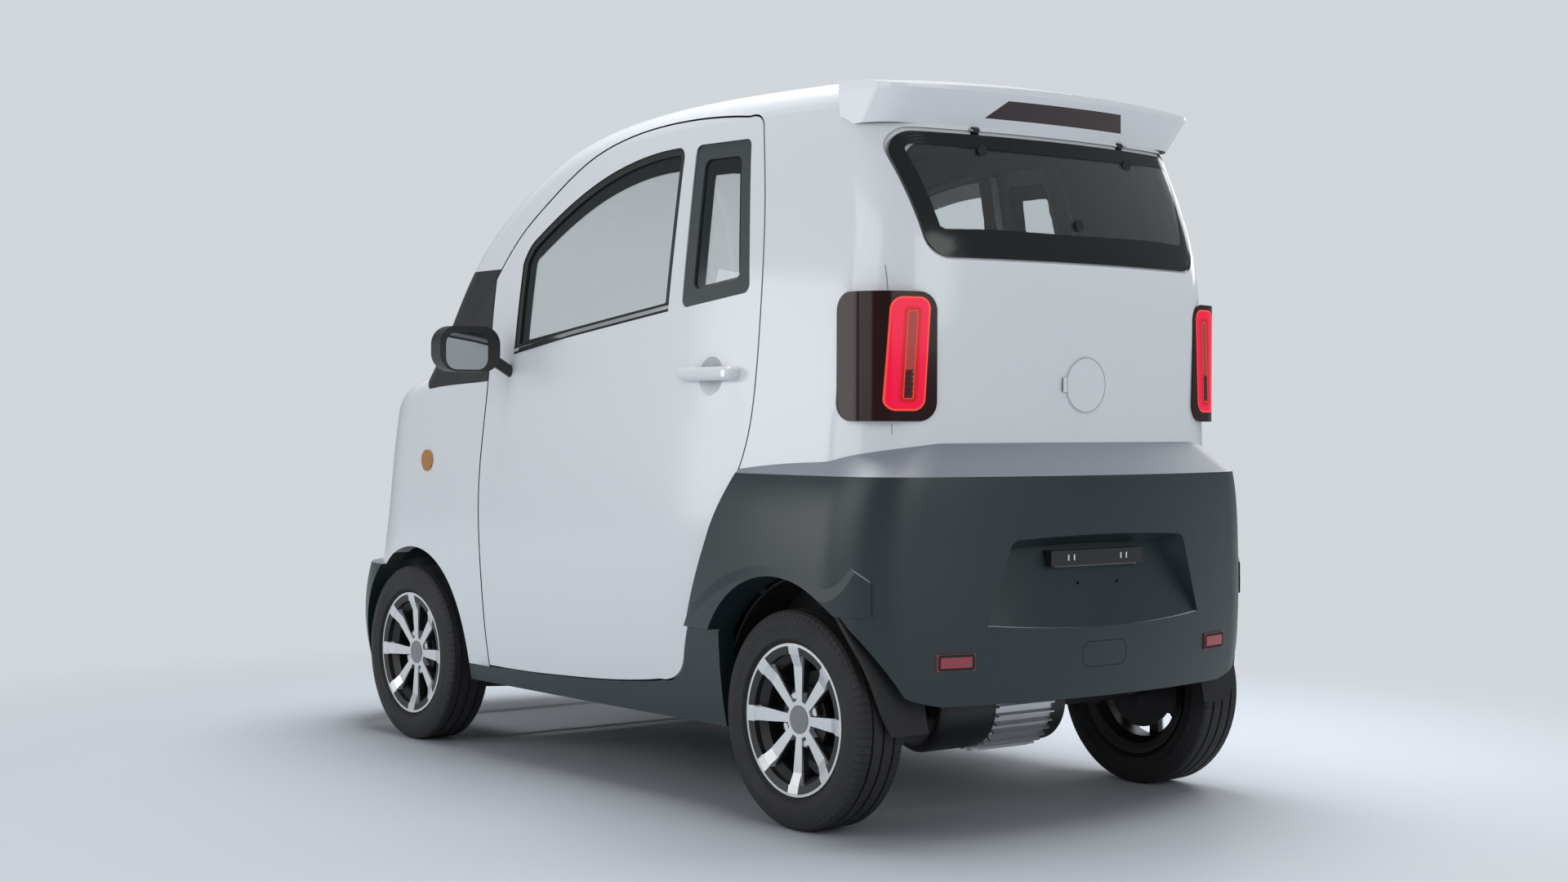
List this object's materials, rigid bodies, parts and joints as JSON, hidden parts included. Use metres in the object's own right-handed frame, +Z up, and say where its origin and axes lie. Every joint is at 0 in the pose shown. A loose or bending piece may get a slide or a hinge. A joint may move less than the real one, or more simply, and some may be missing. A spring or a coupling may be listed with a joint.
{
  "type": "electric microcar",
  "caption": "Short two-seat electric city car with a white rounded body, dark lower panels, hinged doors, opening rear window, steered front wheels and alloy rims.",
  "frame": {"origin": "on the ground, half way along the car and on its centre line", "axes": "+Y towards the tail, +X towards the driver side (left), +Z up; the car drives towards -Y"},
  "size_m": [1.609, 2.7004, 1.7],
  "materials": {
    "white_paint": "gloss",
    "grey_plastic": "satin",
    "black_plastic": "satin",
    "black_rubber": "matte",
    "tyre_rubber": "matte",
    "alloy": "satin",
    "tinted_glass": "gloss",
    "red_lens": "gloss",
    "amber_lens": "gloss",
    "clear_lens": "gloss",
    "chassis_steel": "satin",
    "bright_steel": "satin",
    "battery_case": "matte",
    "seat_fabric": "matte"
  },
  "bodies": {
    "car": {"body_shell": "white_paint", "front_panel": "white_paint", "cowl_panel": "black_plastic", "front_bumper": "grey_plastic", "rear_bumper": "grey_plastic", "arch_panels": "grey_plastic", "sills": "grey_plastic", "windscreen": "tinted_glass", "headlamps": "clear_lens", "tail_lamps": "red_lens", "rear_spoiler": "white_paint", "brake_lamp_high": "red_lens", "floor_tub": "black_plastic", "chassis_frame": "chassis_steel", "front_suspension": "chassis_steel", "rear_axle": "chassis_steel", "drive_motor": "alloy", "battery_pack": "battery_case", "dashboard": "black_plastic", "seats": "seat_fabric", "mud_flaps": "black_rubber", "plate_lamp": "black_plastic", "rear_reflectors": "red_lens", "side_repeaters": "amber_lens", "charge_socket": "black_plastic", "door_hinges": "bright_steel", "hatch_hinges": "bright_steel"},
    "door_left": {"door_left": "white_paint", "door_glass_left": "tinted_glass", "window_trim_left": "black_rubber", "door_handle_left": "white_paint", "mirror_left": "black_plastic"},
    "door_right": {"door_right": "white_paint", "door_glass_right": "tinted_glass", "window_trim_right": "black_rubber", "door_handle_right": "white_paint", "mirror_right": "black_plastic"},
    "rear_window": {"hatch_glass": "tinted_glass", "hatch_fittings": "black_plastic"},
    "charge_cover": {"charge_flap": "white_paint"},
    "steering_wheel": {"steering_wheel": "black_plastic"},
    "steer_left": {"knuckle_left": "bright_steel"},
    "steer_right": {"knuckle_right": "bright_steel"},
    "wheel_front_left": {"tyre_front_left": "tyre_rubber", "rim_front_left": "alloy"},
    "wheel_front_right": {"tyre_front_right": "tyre_rubber", "rim_front_right": "alloy"},
    "wheel_rear_left": {"tyre_rear_left": "tyre_rubber", "rim_rear_left": "alloy"},
    "wheel_rear_right": {"tyre_rear_right": "tyre_rubber", "rim_rear_right": "alloy"}
  },
  "joints": [
    {"name": "steering_wheel_turn", "type": "hinge", "parent": "car", "child": "steering_wheel", "pos_m": [0.262, -0.03086, 0.8602], "axis": [0, 0.9063, 0.4226], "range_deg": [-540, 540]},
    {"name": "steer_left", "type": "hinge", "parent": "car", "child": "steer_left", "pos_m": [0.49, -0.782, 0.244], "axis": [0, 0, 1], "range_deg": [-30, 30]},
    {"name": "steer_right", "type": "hinge", "parent": "car", "child": "steer_right", "pos_m": [-0.49, -0.782, 0.244], "axis": [0, 0, 1], "range_deg": [-30, 30]},
    {"name": "spin_front_left", "type": "hinge", "parent": "steer_left", "child": "wheel_front_left", "pos_m": [0.54, -0.782, 0.244], "axis": [1, 0, 0], "continuous": true},
    {"name": "spin_front_right", "type": "hinge", "parent": "steer_right", "child": "wheel_front_right", "pos_m": [-0.54, -0.782, 0.244], "axis": [1, 0, 0], "continuous": true},
    {"name": "spin_rear_left", "type": "hinge", "parent": "car", "child": "wheel_rear_left", "pos_m": [0.54, 0.973, 0.244], "axis": [1, 0, 0], "continuous": true},
    {"name": "spin_rear_right", "type": "hinge", "parent": "car", "child": "wheel_rear_right", "pos_m": [-0.54, 0.973, 0.244], "axis": [1, 0, 0], "continuous": true},
    {"name": "door_left_open", "type": "hinge", "parent": "car", "child": "door_left", "pos_m": [0.59148, -0.32745, 0], "axis": [0.0389, 0, -0.9992], "range_deg": [0, 65]},
    {"name": "door_right_open", "type": "hinge", "parent": "car", "child": "door_right", "pos_m": [-0.59148, -0.32745, 0], "axis": [0.0389, 0, 0.9992], "range_deg": [0, 65]},
    {"name": "rear_window_open", "type": "hinge", "parent": "car", "child": "rear_window", "pos_m": [0, 1.16008, 1.5538], "axis": [1, 0, 0], "range_deg": [0, 60]},
    {"name": "charge_cover_open", "type": "hinge", "parent": "car", "child": "charge_cover", "pos_m": [0.069, 1.28236, 0.98685], "axis": [0, 0, -1], "range_deg": [0, 110]}
  ],
  "couplings": [
    {"joint": "steer_left", "follows": "steering_wheel_turn", "ratio": 0.05555},
    {"joint": "steer_right", "follows": "steering_wheel_turn", "ratio": 0.05555}
  ]
}
